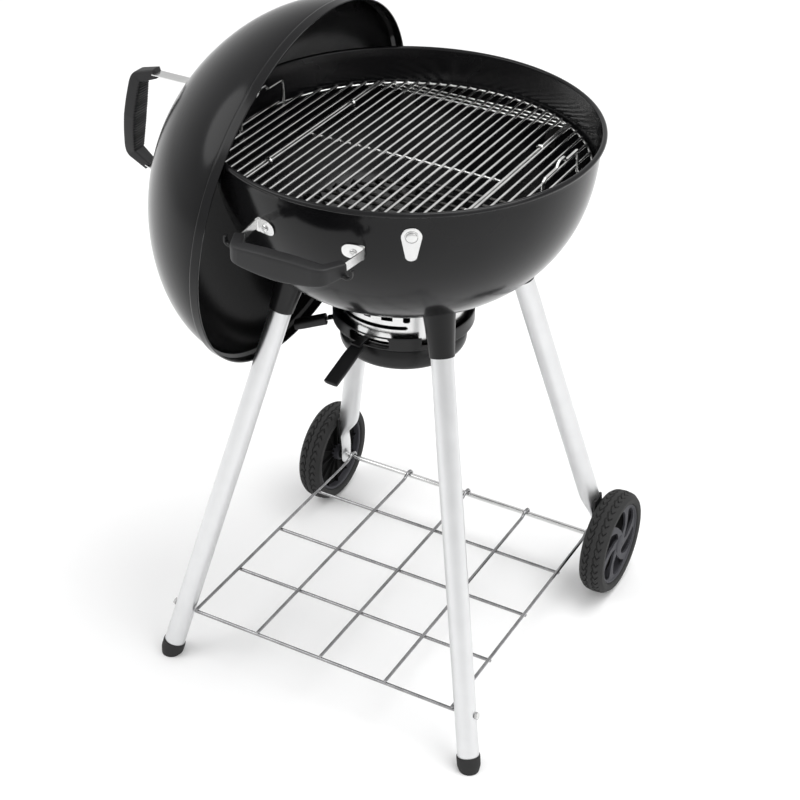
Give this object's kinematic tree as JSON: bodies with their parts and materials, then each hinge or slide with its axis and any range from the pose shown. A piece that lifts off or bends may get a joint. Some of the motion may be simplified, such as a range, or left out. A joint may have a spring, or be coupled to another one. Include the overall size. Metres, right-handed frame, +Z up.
{
  "type": "kettle charcoal grill",
  "caption": "Round kettle charcoal grill on legs and wheels, with hinged cooking grate, charcoal grate, ash pan and vent lever, wire shelf, and its domed lid hung on the side.",
  "frame": {"origin": "middle of the footprint of the whole grill with its lid hung on the side, on the floor", "axes": "+Z up, +X along the wheel axle away from the hung lid, -Y towards the side with the bowl's handle and the vent lever"},
  "size_m": [0.802, 0.6944, 1.0542],
  "materials": {
    "enamel": "gloss black porcelain enamel",
    "black_metal": "satin black paint",
    "black_plastic": "matt black, glass-filled",
    "hub_plastic": "matt dark grey",
    "foot_rubber": "matt black",
    "tyre_rubber": "matt black with a moulded tread",
    "steel": "brushed stainless steel",
    "wire": "bright plated wire",
    "iron": "dark bare steel bar",
    "aluminium": "satin anodised tube"
  },
  "bodies": {
    "frame": {"axle": "steel", "bowl": "enamel", "bowl_bracket_left": "steel", "bowl_bracket_right": "steel", "bowl_grip": "black_plastic", "bowl_screw_left": "steel", "bowl_screw_right": "steel", "collar": "steel", "foot_front_left": "foot_rubber", "foot_front_right": "foot_rubber", "grate_support_front_left": "steel", "grate_support_front_right": "steel", "grate_support_rear_left": "steel", "grate_support_rear_right": "steel", "leg_front_left": "aluminium", "leg_front_right": "aluminium", "leg_rear_left": "aluminium", "leg_rear_right": "aluminium", "probe_rivet": "steel", "shelf": "wire", "shelf_bolt_left": "steel", "shelf_bolt_right": "steel", "socket_front_left": "black_metal", "socket_front_right": "black_metal", "socket_rear_left": "black_metal", "socket_rear_right": "black_metal", "spacer_left": "black_plastic", "spacer_right": "black_plastic", "tool_hook_left": "black_metal", "tool_hook_right": "black_metal", "vent_ring": "black_metal"},
    "wheel_left": {"tyre_left": "tyre_rubber", "hub_left": "hub_plastic", "hub_cap_left": "hub_plastic"},
    "wheel_right": {"tyre_right": "tyre_rubber", "hub_right": "hub_plastic", "hub_cap_right": "hub_plastic"},
    "vent_sweeper": {"sweeper": "steel", "lever_arm": "black_metal", "lever_grip": "black_plastic"},
    "ash_catcher": {"ash_pan": "black_metal", "pan_bracket": "steel", "pan_handle": "black_plastic"},
    "cooking_grate": {"grate_centre": "wire"},
    "flap_left": {"grate_flap_left": "wire"},
    "flap_right": {"grate_flap_right": "wire"},
    "coal_grate": {"charcoal_grate": "iron"},
    "cover": {"probe_cover": "steel"},
    "lid": {"lid": "enamel", "lid_grip": "black_plastic", "lid_bracket_upper": "steel", "lid_bracket_lower": "steel", "lid_hook": "steel", "lid_rivet": "steel"},
    "lid_vent": {"lid_damper": "aluminium"}
  },
  "joints": [
    {"name": "wheel_left_roll", "type": "hinge", "parent": "frame", "child": "wheel_left", "pos_m": [-0.17644, 0.25614, 0.0911], "axis": [1, 0, 0], "continuous": true},
    {"name": "wheel_right_roll", "type": "hinge", "parent": "frame", "child": "wheel_right", "pos_m": [0.37955, 0.25614, 0.0911], "axis": [1, 0, 0], "continuous": true},
    {"name": "vent_lever_turn", "type": "hinge", "parent": "frame", "child": "vent_sweeper", "pos_m": [0.10155, 0.01376, 0.593], "axis": [0, 0, 1], "range_deg": [-8, 17]},
    {"name": "ash_pan_drop", "type": "slide", "parent": "frame", "child": "ash_catcher", "axis": [0, 0, -1], "range_m": [0, 0.25]},
    {"name": "cooking_grate_lift", "type": "slide", "parent": "frame", "child": "cooking_grate", "axis": [0, 0, 1], "range_m": [0, 0.06]},
    {"name": "flap_left_open", "type": "hinge", "parent": "cooking_grate", "child": "flap_left", "pos_m": [-0.05845, 0.01376, 0.853], "axis": [0, 1, 0], "range_deg": [0, 95]},
    {"name": "flap_right_open", "type": "hinge", "parent": "cooking_grate", "child": "flap_right", "pos_m": [0.26155, 0.01376, 0.853], "axis": [0, -1, 0], "range_deg": [0, 95]},
    {"name": "charcoal_grate_lift", "type": "slide", "parent": "frame", "child": "coal_grate", "axis": [0, 0, 1], "range_m": [0, 0.12]},
    {"name": "probe_cover_swing", "type": "hinge", "parent": "frame", "child": "cover", "pos_m": [0.24627, -0.23192, 0.86641], "axis": [0.5045, -0.8565, -0.1092], "range_deg": [-90, 90]},
    {"name": "lid_lift_off", "type": "slide", "parent": "frame", "child": "lid", "axis": [-0.7071, 0, 0.7071], "range_m": [0, 0.45]},
    {"name": "lid_vent_turn", "type": "hinge", "parent": "lid", "child": "lid_vent", "pos_m": [-0.25032, 0.16378, 0.79109], "axis": [-0.8665, 0.4799, 0.1372], "range_deg": [0, 45]}
  ]
}
